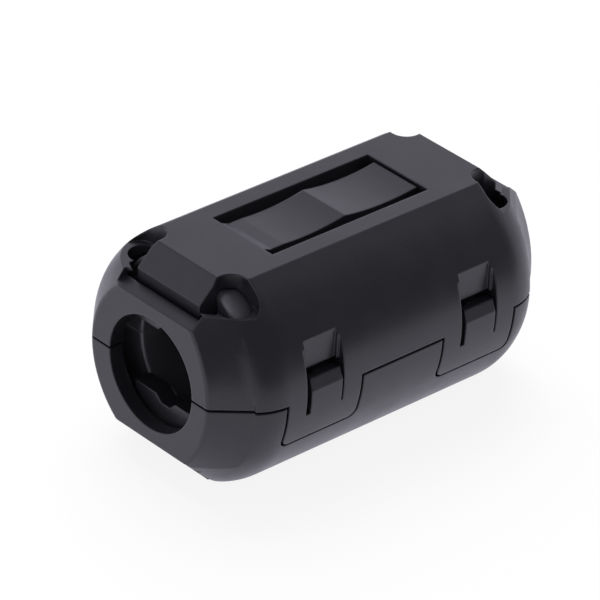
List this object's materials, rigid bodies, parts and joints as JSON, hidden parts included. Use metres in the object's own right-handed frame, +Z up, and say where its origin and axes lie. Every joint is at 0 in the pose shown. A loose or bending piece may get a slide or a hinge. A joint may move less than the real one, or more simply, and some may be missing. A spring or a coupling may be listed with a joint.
{
  "type": "clip on ferrite bead",
  "caption": "Black clip-on cable choke: two hinged nylon half shells holding ferrite half rings round a cable passage, closed by two snap latches.",
  "frame": {"origin": "middle of the cable passage, on the plane where the two halves part", "axes": "+X along the cable, +Y towards the hinge side, +Z up through the flat with the spring window"},
  "size_m": [0.035, 0.0208, 0.0186],
  "materials": {
    "case_nylon": "fine satin moulded surface",
    "core_ferrite": "ground sintered ferrite, dull"
  },
  "bodies": {
    "lower": {"lower_shell": "case_nylon", "lower_core": "core_ferrite"},
    "upper": {"upper_shell": "case_nylon", "upper_core": "core_ferrite"}
  },
  "joints": [
    {"name": "lid_hinge", "type": "hinge", "parent": "lower", "child": "upper", "pos_m": [0, 0.0104, 0], "axis": [-1, 0, 0], "range_deg": [0, 180]}
  ]
}
